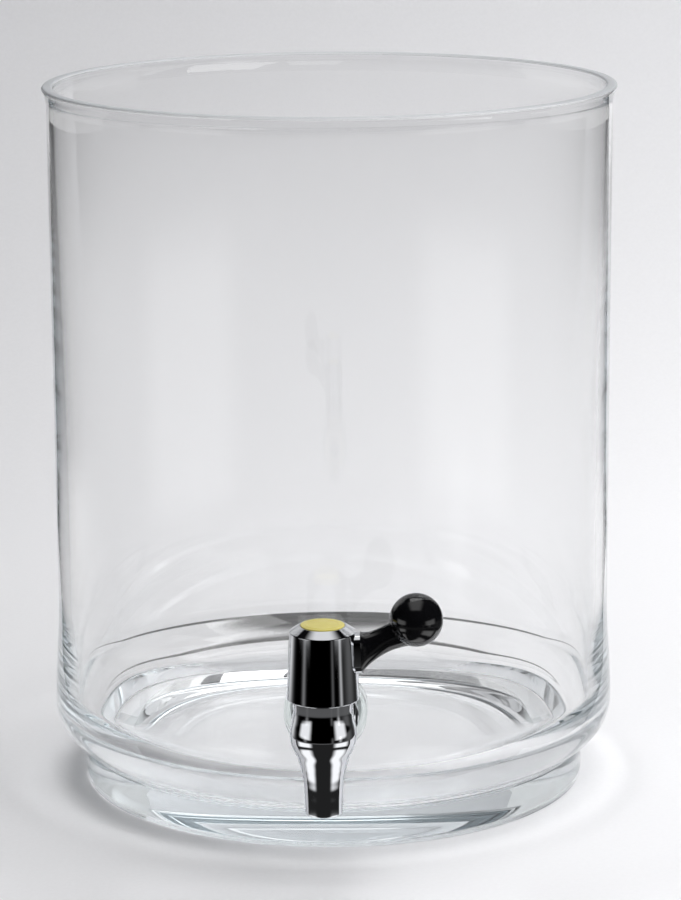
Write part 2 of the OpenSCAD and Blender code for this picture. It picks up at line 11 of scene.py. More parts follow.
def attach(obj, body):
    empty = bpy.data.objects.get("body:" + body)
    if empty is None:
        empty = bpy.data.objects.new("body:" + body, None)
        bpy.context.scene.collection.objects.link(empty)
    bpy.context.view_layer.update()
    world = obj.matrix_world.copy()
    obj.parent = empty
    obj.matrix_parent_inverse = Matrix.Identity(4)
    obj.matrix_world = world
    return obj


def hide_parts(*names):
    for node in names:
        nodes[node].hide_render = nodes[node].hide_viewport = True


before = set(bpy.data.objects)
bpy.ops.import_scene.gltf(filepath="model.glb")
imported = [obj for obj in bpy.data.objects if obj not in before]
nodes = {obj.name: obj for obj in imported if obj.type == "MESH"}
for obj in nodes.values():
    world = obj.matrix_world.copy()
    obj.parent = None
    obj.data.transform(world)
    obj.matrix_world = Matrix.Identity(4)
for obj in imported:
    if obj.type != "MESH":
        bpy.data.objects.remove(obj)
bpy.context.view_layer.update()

# Vessel: one piece of clear soda-lime glass, pressed in a mould. A straight wall stands on a rounded
# heel and a short foot. The lip is flared and ground flat, and the hole for the tap is drilled.
MM = 0.001
VESSEL_R, INNER_R, INNER_TOP_R, VESSEL_H = 125, 119.5, 122, 316
THIN_FROM, THIN_TO = 95, 307
LIP_Z, LIP_H, LIP_FLARE, LIP_EDGE = 307, 9, 2.5, 1.2
HEEL_Z, HEEL_R, HEEL_ROUND, SWELL_H = 36, 127.2, 18, 49
FOOT_R, FOOT_FILLET, FOOT_EDGE = 114, 4, 1.5
HOLLOW_R, PUSH_UP = 100, 2
FLOOR_Z, FLOOR_ROUND_W, FLOOR_ROUND_H = 14, 55, 33
TAP_Z, HOLE_R, WINDOW_H = 65, 9.1, 32
GROUND_FROM, GROUND_TO = 314.9, 315.6


def arc(r, z, radius, start, end, count):
    """Points of a circle: the centre (r, z) plus the radius times the cosine and sine of the angle."""
    a = np.radians(np.linspace(start, end, count))
    return np.stack([r + radius * np.cos(a), z + radius * np.sin(a)], -1)


def turned(profile, columns):
    """Surface of revolution about Z: a profile point (r, z) goes to (r sin a, -r cos a, z) for a from
    half a turn before the front to half a turn past it."""
    a = np.linspace(-np.pi, np.pi, columns + 1)
    r, z = profile[:, :1], profile[:, 1:]
    return np.stack([r * np.sin(a), -r * np.cos(a), z + 0 * a], -1)


def piece(name, sheets, material, body, sharp=40):
    """One mesh, in metres, from grids of points in mm: neighbours in a grid become quads, a quad with a
    missing corner is left out, equal points are merged, and edges past the sharp angle stay crisp."""
    points = np.concatenate([s.reshape(-1, 3) for s in sheets])
    first = np.cumsum([0] + [s.shape[0] * s.shape[1] for s in sheets])
    index = [k + np.arange(s.shape[0] * s.shape[1]).reshape(s.shape[:2]) for k, s in zip(first, sheets)]
    quads = np.concatenate([
        np.stack([k[:-1, :-1], k[:-1, 1:], k[1:, 1:], k[1:, :-1]], -1).reshape(-1, 4) for k in index
    ])
    quads = quads[np.isfinite(points).all(-1)[quads].all(-1)]
    used, quads = np.unique(quads, return_inverse=True)
    mesh = bpy.data.meshes.new(name)
    mesh.from_pydata((points[used] * MM).tolist(), [], quads.reshape(-1, 4).tolist())
    work = bmesh.new()
    work.from_mesh(mesh)
    bmesh.ops.remove_doubles(work, verts=work.verts, dist=0.002 * MM)
    bmesh.ops.dissolve_degenerate(work, edges=work.edges, dist=0.001 * MM)
    work.to_mesh(mesh)
    work.free()
    mesh.shade_smooth()
    mesh.set_sharp_from_angle(angle=math.radians(sharp))
    mesh.materials.append(material)
    made = bpy.data.objects.new(name, mesh)
    bpy.context.scene.collection.objects.link(made)
    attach(made, body)
    return made


def wall_radius(z):
    """Outer radius at height z: the heel's swell fades into the straight wall along half a cosine."""
    t = np.clip((z - HEEL_Z) / SWELL_H, 0, 1)
    return VESSEL_R + (HEEL_R - VESSEL_R) * (1 + np.cos(np.pi * t)) / 2


def inner_radius(z):
    """Inner radius at height z: the wall thins towards the lip along half a cosine."""
    t = np.clip((z - THIN_FROM) / (THIN_TO - THIN_FROM), 0, 1)
    return INNER_R + (INNER_TOP_R - INNER_R) * (1 - np.cos(np.pi * t)) / 2


def lip_radius(z):
    """How far the lip has flared at height z: it grows with the square of the height."""
    return LIP_FLARE * (np.maximum(z - LIP_Z, 0) / LIP_H) ** 2


def drilled(radius, angles, heights):
    """The wall round the tap's hole: rings that go from the edge of a window in the grid, given by its
    angles and heights, to the hole's circle, laid on the wall of the given radius."""
    wide, tall = len(angles) - 1, len(heights) - 1
    a = np.concatenate([angles[:-1], np.full(tall, angles[-1]), angles[:0:-1], np.full(tall, angles[0])])
    z = np.concatenate([np.full(wide, heights[0]), heights[:-1], np.full(wide, heights[-1]), heights[:0:-1]])
    a, z = np.append(a, a[0]), np.append(z, z[0])
    x = radius(z) * np.sin(a)
    turn = np.arctan2(z - TAP_Z, x)
    s = np.linspace(0, 1, 12)[:, None]
    x = x + (HOLE_R * np.cos(turn) - x) * s
    z = z + (TAP_Z + HOLE_R * np.sin(turn) - z) * s
    return np.stack([x, -np.sqrt(radius(z) ** 2 - x ** 2), z], -1)


fillet_run = FOOT_R + FOOT_FILLET - HEEL_R + HEEL_ROUND
fillet_drop = math.sqrt((HEEL_ROUND + FOOT_FILLET) ** 2 - fillet_run ** 2)
heel_end = math.degrees(math.atan2(-fillet_drop, fillet_run))
hole_rows = np.linspace(TAP_Z - WINDOW_H / 2, TAP_Z + WINDOW_H / 2, 17)
hollow = np.linspace(0, HOLLOW_R, 10)
wall_rows = np.concatenate([np.linspace(38, 47, 5), hole_rows, [83, 85, 100, 130, 180, 230, 280, 300]])
lip_rows = np.linspace(LIP_Z, VESSEL_H - LIP_EDGE, 10)
lip_out = lip_radius(lip_rows[-1])
outside = np.concatenate([
    np.stack([hollow, PUSH_UP * (1 - (hollow / HOLLOW_R) ** 2)], -1),
    arc(FOOT_R - FOOT_EDGE, FOOT_EDGE, FOOT_EDGE, -90, 0, 8),
    arc(FOOT_R + FOOT_FILLET, HEEL_Z - fillet_drop, FOOT_FILLET, 180, 180 + heel_end, 12),
    arc(HEEL_R - HEEL_ROUND, HEEL_Z, HEEL_ROUND, heel_end, 0, 26),
    np.stack([wall_radius(wall_rows), wall_rows], -1),
    np.stack([VESSEL_R + lip_radius(lip_rows), lip_rows], -1),
    arc(VESSEL_R + lip_out - LIP_EDGE, lip_rows[-1], LIP_EDGE, 18, 90, 8),
])
inner_rows = np.concatenate([np.linspace(THIN_TO, THIN_FROM, 24), hole_rows[::-1]])
floor_rings = np.linspace(60, 0, 6)
inside = np.concatenate([
    arc(INNER_TOP_R + LIP_EDGE, lip_rows[-1], LIP_EDGE, 90, 180, 10),
    np.stack([inner_radius(inner_rows), inner_rows], -1),
    arc(0, 1, 1, 0, -90, 48) * [FLOOR_ROUND_W, FLOOR_ROUND_H] + [INNER_R - FLOOR_ROUND_W, FLOOR_Z],
    np.stack([floor_rings, FLOOR_Z + 0 * floor_rings], -1),
])
COLUMNS, WINDOW = 208, 7
outline = np.concatenate([outside, inside])
shell = turned(outline, COLUMNS)
front = slice(COLUMNS // 2 - WINDOW + 1, COLUMNS // 2 + WINDOW)
sill, head = [np.flatnonzero(np.isclose(outline[:, 1], z)) for z in hole_rows[[0, -1]]]
shell[sill[0] + 1:head[0], front] = np.nan
shell[head[-1] + 1:sill[-1], front] = np.nan
window = np.linspace(-np.pi, np.pi, COLUMNS + 1)[front.start - 1:front.stop + 1]
hole_out = drilled(wall_radius, window, hole_rows)
hole_in = drilled(lambda z: INNER_R + 0 * z, window, hole_rows)
bore = np.stack([hole_out[-1], hole_in[-1]])


def colour(code):
    """An sRGB hex value as linear red, green, blue and alpha."""
    v = np.array([int(code[i:i + 2], 16) for i in (1, 3, 5)]) / 255
    v = np.where(v <= 0.04045, v / 12.92, ((v + 0.055) / 1.055) ** 2.4)
    return (*v.tolist(), 1)


def node(material, kind, links=None, **settings):
    """Adds a node to a material: each link is a socket's value or another node's output."""
    tree = material.node_tree
    made = tree.nodes.new("ShaderNode" + kind)
    for key, value in settings.items():
        setattr(made, key, value)
    for key, value in (links or {}).items():
        if isinstance(value, bpy.types.NodeSocket):
            tree.links.new(value, made.inputs[key])
        else:
            made.inputs[key].default_value = value
    return made


def bare(name):
    """A material with an empty node tree."""
    made = bpy.data.materials.new(name)
    made.use_nodes = True
    made.node_tree.nodes.clear()
    return made


# Pressed soda-lime glass is clear, with a faint blue-green where the light goes a long way through it.
# The mould leaves it slightly wavy over 40 mm or so, and the ground lip is matt with a fine grit.
glass = bare("pressed_soda_lime_glass")
place = node(glass, "TexCoord").outputs["Object"]
height = node(glass, "SeparateXYZ", {"Vector": place}).outputs["Z"]
lip_zone = {"Value": height, "From Min": GROUND_FROM * MM, "From Max": GROUND_TO * MM}
ground = node(glass, "MapRange", {**lip_zone, "To Min": 0.0, "To Max": 0.5}).outputs["Result"]
passing = node(glass, "MapRange", {**lip_zone, "To Min": 1.0, "To Max": 0.3}).outputs["Result"]
lip_tone = node(glass, "ValToRGB", {"Fac": ground})
lip_tone.color_ramp.elements[0].color = (1, 1, 1, 1)
lip_tone.color_ramp.elements[1].color = colour("#c8cacd")
lip_tone.color_ramp.elements[1].position = 0.5
waves = node(glass, "TexNoise", {"Vector": place, "Scale": 1 / (40 * MM), "Detail": 1.0}).outputs["Fac"]
wavy = node(glass, "Bump", {"Height": waves, "Strength": 1.0, "Distance": 0.03 * MM}).outputs["Normal"]
clear = node(glass, "BsdfPrincipled", {
    "Base Color": lip_tone.outputs["Color"], "Roughness": ground, "Transmission Weight": passing,
    "IOR": 1.52, "Normal": wavy,
}).outputs["BSDF"]
tint = node(glass, "VolumeAbsorption", {"Color": colour("#d9e3e7"), "Density": 3.2}).outputs["Volume"]
node(glass, "OutputMaterial", {"Surface": clear, "Volume": tint})

vessel = piece("vessel_glass", [shell, hole_out, hole_in[:, ::-1], bore],
               glass, "vessel", sharp=50)
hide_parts("glass_vessel")

# Seals: two washers of clear moulded silicone hold the glass between the tap's flange and the nut. The
# outer one has a collar in the drilled hole. Silicone is soft, clear and slightly matt.
silicone = bare("clear_silicone")
place = node(silicone, "TexCoord").outputs["Object"]
bloom = node(silicone, "TexNoise", {"Vector": place, "Scale": 1 / (3 * MM), "Detail": 3.0}).outputs["Fac"]
matt = node(silicone, "MapRange", {"Value": bloom, "To Min": 0.06, "To Max": 0.16}).outputs["Result"]
soft = node(silicone, "BsdfPrincipled", {
    "Base Color": colour("#f7faf9"), "Transmission Weight": 0.97, "IOR": 1.41, "Roughness": matt,
}).outputs["BSDF"]
node(silicone, "OutputMaterial", {"Surface": soft})
nodes["outer_gasket"].data.materials[0] = silicone
nodes["inner_gasket"].data.materials[0] = silicone

# Slip washer and lock nut: a turned stainless washer lets the moulded nylon nut turn without dragging the
# inner seal. The washer has a fine turned grain, and the nut is off-white with a moulded one.
steel = bare("turned_stainless_steel")
place = node(steel, "TexCoord").outputs["Object"]
grain = node(steel, "TexNoise", {"Vector": place, "Scale": 1 / (0.6 * MM), "Detail": 4.0}).outputs["Fac"]
brushed = node(steel, "MapRange", {"Value": grain, "To Min": 0.2, "To Max": 0.38}).outputs["Result"]
marks = node(steel, "Bump", {"Height": grain, "Strength": 0.3, "Distance": 0.01 * MM}).outputs["Normal"]
bright = node(steel, "BsdfPrincipled", {
    "Base Color": colour("#c9cbcd"), "Metallic": 1.0, "Roughness": brushed, "Normal": marks,
}).outputs["BSDF"]
node(steel, "OutputMaterial", {"Surface": bright})
nylon = bare("natural_nylon")
place = node(nylon, "TexCoord").outputs["Object"]
flow = node(nylon, "TexNoise", {"Vector": place, "Scale": 1 / (5 * MM), "Detail": 2.0}).outputs["Fac"]
shade = node(nylon, "ValToRGB", {"Fac": flow})
shade.color_ramp.elements[0].color = colour("#dedbd0")
shade.color_ramp.elements[1].color = colour("#efece2")
fine = node(nylon, "TexNoise", {"Vector": place, "Scale": 1 / (0.5 * MM), "Detail": 2.0}).outputs["Fac"]
grained = node(nylon, "Bump", {"Height": fine, "Strength": 0.3, "Distance": 0.02 * MM}).outputs["Normal"]
milky = node(nylon, "BsdfPrincipled", {
    "Base Color": shade.outputs["Color"], "Roughness": 0.42, "IOR": 1.53, "Normal": grained,
    "Subsurface Weight": 0.15, "Subsurface Radius": (0.002, 0.0018, 0.0014),
}).outputs["BSDF"]
node(nylon, "OutputMaterial", {"Surface": milky})
nodes["slip_washer"].data.materials[0] = steel
for name in ("lock_nut", "seat_ring", "thrust_washer"):
    nodes[name].data.materials[0] = nylon

# Tap body: a brass casting, polished and chromed. A bulb at the inlet narrows into the round spout, a
# plain neck goes up into the cap, and a barrel with a flange ends in the threaded shank.
TAP_Y = -160.187
NECK_R, NECK_H, NECK_EDGE, BULB_R, FLANK_REACH = 12.4, 23, 0.4, 14, 4.5
TIP_R, TIP_EDGE, MOUTH_EDGE, SPOUT_DROP = 7.8, 0.6, 0.5, 32.5
BORE_R, CHAMBER_R, CHAMBER_DROP, BONNET_R, BONNET_DEPTH = 5.2, 8, 9, 9.5, 7
BARREL_R, FLANGE_R, FLANGE_T, FLANGE_FILLET, FLANGE_FACE = 10.5, 14.2, 3, 3, 31.4
BARREL_FLARE, BARREL_BLEND = 2, 8
SHANK_R, SHANK_BACK, PORT_R, THREAD_PITCH, THREAD_H = 8, 55.187, 3.6, 1.5, 0.7


def at_tap(sheet):
    """Moves points from the tap's own axis to its place in front of the glass."""
    return sheet + np.array([0, TAP_Y, TAP_Z])


def along_inlet(sheet):
    """Lays a shape that was turned about Z along the inlet, from the tap's axis into the vessel."""
    x, y, z = np.moveaxis(sheet, -1, 0)
    return at_tap(np.stack([x, z, -y], -1))


def eased(points, reach):
    """Rounds an outline of height against radius: each radius becomes the mean over the reach round it."""
    z = np.linspace(points[0][1], points[-1][1], 160)
    r = np.interp(z, [p[1] for p in points], [p[0] for p in points])
    kernel = np.hanning(int(reach / (z[1] - z[0])) | 1)
    padded = np.pad(r, len(kernel) // 2, mode="reflect", reflect_type="odd")
    return np.stack([np.convolve(padded, kernel / kernel.sum(), mode="valid"), z], -1)


flank = [(TIP_R, TIP_EDGE - SPOUT_DROP), (7.95, -26), (8.25, -20.7), (8.8, -16.4), (9.7, -12), (11, -7.7),
         (12.7, -4.5), (13.8, -1.1), (BULB_R, 1.8), (13.6, 4.8), (12.8, 8.1), (NECK_R, 11.5), (NECK_R, 16)]
bulb = np.concatenate([
    arc(BORE_R + MOUTH_EDGE, MOUTH_EDGE - SPOUT_DROP, MOUTH_EDGE, 180, 270, 5),
    arc(TIP_R - TIP_EDGE, TIP_EDGE - SPOUT_DROP, TIP_EDGE, -90, 0, 6),
    eased(flank, FLANK_REACH),
    arc(NECK_R - NECK_EDGE, NECK_H - NECK_EDGE, NECK_EDGE, 0, 90, 4),
    [[BONNET_R, NECK_H], [BONNET_R, NECK_H - BONNET_DEPTH], [CHAMBER_R, NECK_H - BONNET_DEPTH],
     [CHAMBER_R, -CHAMBER_DROP], [BORE_R, -CHAMBER_DROP], [BORE_R, MOUTH_EDGE - SPOUT_DROP]],
])
barrel_from = CHAMBER_R + 1
blend = np.linspace(0, 1, 14)
barrel = np.concatenate([
    [[PORT_R, barrel_from]],
    np.stack([BARREL_R + BARREL_FLARE * (1 - blend) ** 2.4, barrel_from + BARREL_BLEND * blend], -1),
    arc(BARREL_R + FLANGE_FILLET, FLANGE_FACE - FLANGE_T - FLANGE_FILLET, FLANGE_FILLET, 180, 90, 12),
    arc(FLANGE_R - TIP_EDGE, FLANGE_FACE - FLANGE_T + TIP_EDGE, TIP_EDGE, -90, 0, 6),
    [[FLANGE_R, FLANGE_FACE], [SHANK_R - THREAD_H, FLANGE_FACE]],
])


def threaded(radius, start, end, pitch, depth, columns):
    """A screw thread about Z: the radius falls by the depth and rises again once in each pitch, and the
    crest climbs by one pitch in each turn. It runs out in a taper over the last pitch."""
    z = np.linspace(start, end, int((end - start) / pitch * 10) + 1)[:, None]
    a = np.linspace(-np.pi, np.pi, columns + 1)
    phase = np.mod(z / pitch - a / (2 * np.pi), 1)
    groove = np.clip(1.5 * np.abs(2 * phase - 1) - 0.25, 0, 1)
    fade = np.clip((end - z) / pitch, 0, 1)
    r = radius - depth + depth * groove * fade
    return np.stack([r * np.sin(a), -r * np.cos(a), z + 0 * a], -1)


shank = threaded(SHANK_R, FLANGE_FACE, SHANK_BACK, THREAD_PITCH, THREAD_H, 72)
shank_end = turned(np.array([
    [SHANK_R - THREAD_H, SHANK_BACK], [PORT_R, SHANK_BACK], [PORT_R, barrel_from],
]), 72)

# Chrome plate is a nearly neutral mirror. Polishing leaves a faint orange peel over about 5 mm and hairline
# scratches that vary its gloss, both kept low.
chrome = bare("chrome_plate")
place = node(chrome, "TexCoord").outputs["Object"]
peel = node(chrome, "TexNoise", {"Vector": place, "Scale": 1 / (5 * MM), "Detail": 1.0}).outputs["Fac"]
peeled = node(chrome, "Bump", {"Height": peel, "Strength": 0.5, "Distance": 0.004 * MM}).outputs["Normal"]
hair = node(chrome, "TexNoise", {"Vector": place, "Scale": 1 / (1.5 * MM), "Detail": 5.0}).outputs["Fac"]
worn = node(chrome, "MapRange", {"Value": hair, "To Min": 0.015, "To Max": 0.06}).outputs["Result"]
mirror = node(chrome, "BsdfPrincipled", {
    "Base Color": colour("#dcdee2"), "Metallic": 1.0, "Roughness": worn, "Normal": peeled,
}).outputs["BSDF"]
node(chrome, "OutputMaterial", {"Surface": mirror})
tap = piece("tap_casting", [
    at_tap(turned(bulb, 96)), along_inlet(turned(barrel, 96)), along_inlet(shank), along_inlet(shank_end),
], chrome, "vessel", sharp=35)
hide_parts("tap_body")

# Valve: a turned acetal plug and stem, sealed by nitrile rings and kept in by a brass bonnet. It is shut
# away under the cap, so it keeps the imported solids.
acetal = bare("turned_acetal")
place = node(acetal, "TexCoord").outputs["Object"]
lathe = node(acetal, "TexWave", {"Vector": place, "Scale": 1 / (1.2 * MM), "Distortion": 0.5},
             bands_direction="Z").outputs["Fac"]
cut = node(acetal, "Bump", {"Height": lathe, "Strength": 0.15, "Distance": 0.01 * MM}).outputs["Normal"]
white = node(acetal, "BsdfPrincipled", {
    "Base Color": colour("#ecebe4"), "Roughness": 0.36, "IOR": 1.48, "Normal": cut,
}).outputs["BSDF"]
node(acetal, "OutputMaterial", {"Surface": white})
nodes["valve_spindle"].data.materials[0] = acetal
rubber = bare("nitrile_rubber")
place = node(rubber, "TexCoord").outputs["Object"]
talc = node(rubber, "TexNoise", {"Vector": place, "Scale": 1 / (0.8 * MM), "Detail": 3.0}).outputs["Fac"]
dull = node(rubber, "MapRange", {"Value": talc, "To Min": 0.5, "To Max": 0.75}).outputs["Result"]
black_ring = node(rubber, "BsdfPrincipled", {
    "Base Color": colour("#161616"), "Roughness": dull,
}).outputs["BSDF"]
node(rubber, "OutputMaterial", {"Surface": black_ring})
for name in ("lower_o_ring", "upper_o_ring", "seat_backing_ring"):
    nodes[name].data.materials[0] = rubber
brass = bare("turned_brass")
place = node(brass, "TexCoord").outputs["Object"]
tarnish = node(brass, "TexNoise", {"Vector": place, "Scale": 1 / (4 * MM), "Detail": 4.0}).outputs["Fac"]
gold = node(brass, "ValToRGB", {"Fac": tarnish})
gold.color_ramp.elements[0].color = colour("#b8923f")
gold.color_ramp.elements[1].color = colour("#d9b65c")
yellow_metal = node(brass, "BsdfPrincipled", {
    "Base Color": gold.outputs["Color"], "Metallic": 1.0, "Roughness": 0.28,
}).outputs["BSDF"]
node(brass, "OutputMaterial", {"Surface": yellow_metal})
nodes["bonnet_nut"].data.materials[0] = brass

# Handle cap: a chromed zinc casting that goes over the neck, with a pad on its side for the lever. It sits
# on the stem's square, and its screws are steel.
nodes["handle_cap"].data.materials[0] = chrome
for name in ("handle_screw", "screw_washer", "lever_screw"):
    nodes[name].data.materials[0] = steel

# Index disc: a moulded yellow disc, pressed into the cap's top over the screw. It has a slight dome and a
# low raised ring inside its rim, and shines softly like any moulded ABS.
CAP_TOP, DISC_R, DISC_SEAT, DISC_TOP, DISC_DOME, DISC_EDGE = 48, 9.1, 1.2, 0.62, 0.32, 0.35
RING_R, RING_W, RING_H = 6.9, 0.45, 0.12
r = np.linspace(0, DISC_R - DISC_EDGE, 60)[::-1]
dome = DISC_TOP - DISC_DOME * (r / DISC_R) ** 2
raised = RING_H * np.exp(-((r - RING_R) / RING_W) ** 2)
disc = np.concatenate([
    [[0, -DISC_SEAT], [DISC_R, -DISC_SEAT]],
    arc(DISC_R - DISC_EDGE, dome[0] - DISC_EDGE, DISC_EDGE, 0, 85, 6),
    np.stack([r, dome + raised], -1),
]) + np.array([0, CAP_TOP])
abs_yellow = bare("yellow_abs")
place = node(abs_yellow, "TexCoord").outputs["Object"]
cloud = node(abs_yellow, "TexNoise", {"Vector": place, "Scale": 1 / (4 * MM), "Detail": 3.0}).outputs["Fac"]
hue = node(abs_yellow, "ValToRGB", {"Fac": cloud})
hue.color_ramp.elements[0].color = colour("#cdbf52")
hue.color_ramp.elements[1].color = colour("#e0d47a")
fine = node(abs_yellow, "TexNoise", {"Vector": place, "Scale": 1 / (0.4 * MM), "Detail": 2.0}).outputs["Fac"]
mould = node(abs_yellow, "Bump", {"Height": fine, "Strength": 0.2, "Distance": 0.01 * MM}).outputs["Normal"]
sunny = node(abs_yellow, "BsdfPrincipled", {
    "Base Color": hue.outputs["Color"], "Roughness": 0.3, "IOR": 1.53, "Normal": mould,
}).outputs["BSDF"]
node(abs_yellow, "OutputMaterial", {"Surface": sunny})
index_disc = piece("index_disc_face", [at_tap(turned(disc, 72))],
                   abs_yellow, "handle")
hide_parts("index_disc")

# Lever: one moulding of glossy black phenolic. A flat-sided root butts on the cap's pad, the arm draws in
# and runs out into the ball, and a tenon in the cap holds it.
ROOT = np.array([15.686, 36.4])
ROOT_H, ROOT_W, WAIST_D, WAIST_W, END_H, END_W = 16.5, 11, 9.8, 7.6, 15, 13
BALL, BALL_R, ARM_STOP, TILT_BY = np.array([38.2, 50.25]), 11, np.array([1, 3.3]), 0.45
SIDE_SLOPE, ARM_START, ARM_END = math.radians(3.02), math.radians(36), math.radians(22)
TENON_X, TENON = 7.5, 6


def lever_arm(rings, sides):
    """A loft along a cubic curve from the pad into the ball. Each ring is a squircle that turns from the
    pad's slope to the arm's, and its size falls from the root's to the waist's and grows to the end's."""
    t = np.linspace(0, 1, rings)[:, None]
    end = BALL - ARM_STOP
    bend = np.linalg.norm(end - ROOT) / 3
    c1 = ROOT + bend * np.array([np.cos(ARM_START), np.sin(ARM_START)])
    c2 = end - bend * np.array([np.cos(ARM_END), np.sin(ARM_END)])
    p = (1 - t) ** 3 * ROOT + 3 * t * (1 - t) ** 2 * c1 + 3 * t ** 2 * (1 - t) * c2 + t ** 3 * end
    tilt = SIDE_SLOPE + (ARM_END - SIDE_SLOPE) * (1 - np.cos(np.pi * np.minimum(1, t / TILT_BY))) / 2
    high = (WAIST_D + (ROOT_H - WAIST_D) * (1 - t) ** 5 + (END_H - WAIST_D) * t ** 3) / 2
    wide = (WAIST_W + (ROOT_W - WAIST_W) * (1 - t) ** 5 + (END_W - WAIST_W) * t ** 3) / 2
    power = np.minimum(1, 0.5 + t)
    q = np.linspace(0, -2 * np.pi, sides + 1)
    v = high * np.sign(np.sin(q)) * np.abs(np.sin(q)) ** power
    u = wide * np.sign(np.cos(q)) * np.abs(np.cos(q)) ** power
    loft = np.stack([p[:, :1] - v * np.sin(tilt), u, p[:, 1:] + v * np.cos(tilt)], -1)
    middle = np.repeat(loft.mean(1, keepdims=True), sides + 1, 1)
    return np.concatenate([middle[:1], loft, middle[-1:]])


polar = arc(0, 0, BALL_R, -90, 90, 49)
ball = turned(polar, 96) + np.array([BALL[0], 0, BALL[1]])
corner = TENON / 2 * np.array([[1, 1], [1, -1], [-1, -1], [-1, 1], [1, 1]])
peg = np.stack([np.stack([np.full(5, x), s * corner[:, 0], ROOT[1] + s * corner[:, 1]], -1)
                for x, s in ((TENON_X, 0), (TENON_X, 1), (ROOT[0] + 1, 1), (ROOT[0] + 1, 0))])
phenolic = bare("black_phenolic")
place = node(phenolic, "TexCoord").outputs["Object"]
touch = node(phenolic, "TexNoise", {"Vector": place, "Scale": 1 / (6 * MM), "Detail": 4.0}).outputs["Fac"]
gloss = node(phenolic, "MapRange", {"Value": touch, "To Min": 0.05, "To Max": 0.14}).outputs["Result"]
peel = node(phenolic, "TexNoise", {"Vector": place, "Scale": 1 / (3 * MM), "Detail": 1.0}).outputs["Fac"]
moulded = node(phenolic, "Bump", {"Height": peel, "Strength": 0.4, "Distance": 0.006 * MM}).outputs["Normal"]
black = node(phenolic, "BsdfPrincipled", {
    "Base Color": colour("#0d0d0f"), "Roughness": gloss, "IOR": 1.6, "Normal": moulded,
}).outputs["BSDF"]
node(phenolic, "OutputMaterial", {"Surface": black})
lever = piece("lever_moulding", [at_tap(lever_arm(60, 64)), at_tap(ball), at_tap(peg)],
              phenolic, "handle", sharp=50)
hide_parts("lever")

# Studio paper: a narrow white sweep lies on a wide pale table and rises behind the vessel. Its front edge is
# just in front of the tap, and a round white backdrop closes the view on the other sides.
SWEEP_FRONT, SWEEP_FLAT, SWEEP_BEND, SWEEP_TOP = -188, 450, 350, 1300
SWEEP_LEFT, SWEEP_RIGHT, SWEEP_SPREAD, BACKDROP_FLAT = -212, 205, 270, 600
TABLE_HALF, TABLE_Z = 6000, -0.5


def sheet_of(name, points, material):
    """A sheet of the studio from a grid of points in mm: neighbours in the grid become quads."""
    count = np.arange(points.shape[0] * points.shape[1]).reshape(points.shape[:2])
    quads = np.stack([count[:-1, :-1], count[:-1, 1:], count[1:, 1:], count[1:, :-1]], -1).reshape(-1, 4)
    mesh = bpy.data.meshes.new(name)
    mesh.from_pydata((points.reshape(-1, 3) * MM).tolist(), [], quads.tolist())
    mesh.shade_smooth()
    mesh.materials.append(material)
    made = bpy.data.objects.new(name, mesh)
    bpy.context.scene.collection.objects.link(made)
    return made


paper = bare("white_paper")
place = node(paper, "TexCoord").outputs["Object"]
fibre = node(paper, "TexNoise", {"Vector": place, "Scale": 1 / (2 * MM), "Detail": 2.0}).outputs["Fac"]
pale = node(paper, "ValToRGB", {"Fac": fibre})
pale.color_ramp.elements[0].color = colour("#ececee")
pale.color_ramp.elements[1].color = colour("#f2f2f4")
flat = node(paper, "BsdfPrincipled", {
    "Base Color": pale.outputs["Color"], "Roughness": 0.9,
}).outputs["BSDF"]
gone = node(paper, "BsdfTransparent").outputs["BSDF"]
behind = node(paper, "NewGeometry").outputs["Backfacing"]
shown = node(paper, "MixShader", {0: behind, 1: flat, 2: gone}).outputs["Shader"]
node(paper, "OutputMaterial", {"Surface": shown})
rise = np.concatenate([
    [[SWEEP_FRONT, 0]],
    arc(SWEEP_FLAT, SWEEP_BEND, SWEEP_BEND, -90, 0, 40),
    [[SWEEP_FLAT + SWEEP_BEND, SWEEP_TOP]],
])
spread = SWEEP_SPREAD * np.linspace(0, 1, len(rise)) ** 0.5
edges = [np.column_stack([SWEEP_LEFT - spread, rise]), np.column_stack([SWEEP_RIGHT + spread, rise])]
sheet_of("paper_sweep", np.stack(edges, 1), paper)
bowl = np.concatenate([
    arc(BACKDROP_FLAT, SWEEP_BEND, SWEEP_BEND, -90, 0, 30),
    [[BACKDROP_FLAT + SWEEP_BEND, SWEEP_TOP]],
])
backdrop = sheet_of("round_backdrop", turned(bowl, 96)[:, ::-1], paper)
backdrop.visible_diffuse = backdrop.visible_glossy = False
backdrop.visible_transmission = backdrop.visible_shadow = False
across, deep = np.meshgrid([-TABLE_HALF, TABLE_HALF], [-TABLE_HALF, TABLE_HALF])
table = sheet_of("pale_table", np.stack([across, deep, TABLE_Z + 0 * deep], -1), paper)
table.visible_glossy = False

# Cards: glowing sheets with soft edges, which only the chrome mirrors or only the glass shows. They light
# nothing:
# they are painted reflections in the mirrors and painted light seen through the glass. On the floor and
# upright cards, reach is in mm from the tap's axis and turns are in degrees from its front. A thin dark ring
# on the table behind the vessel, seen only through the glass, is a painted shadow that darkens a line in the
# heel.
FLOOR_CARD_Z, SHADOW_Z, UPRIGHT_R, OVERHEAD_Z = 0.4, 0.3, 600, 1150
PANEL_X, PANEL_WIDE, PANEL_Y, PANEL_DEEP, PANEL_FROM, PANEL_TO = 440, 540, 804, 700, 200, 1000
SHADOW_Y, SHADOW_R, SHADOW_W, SHADOW_EDGE = 34, 160, 8, 2.5
# The glowing card material lights nothing. Its glow is painted reflection in the mirrors and painted light
# seen through the glass.
painted_glow = bare("painted_glow_card")
glow = node(painted_glow, "Attribute", attribute_name="level").outputs["Fac"]
node(painted_glow, "OutputMaterial", {"Surface": node(painted_glow, "Emission", {"Strength": glow}).outputs["Emission"]})
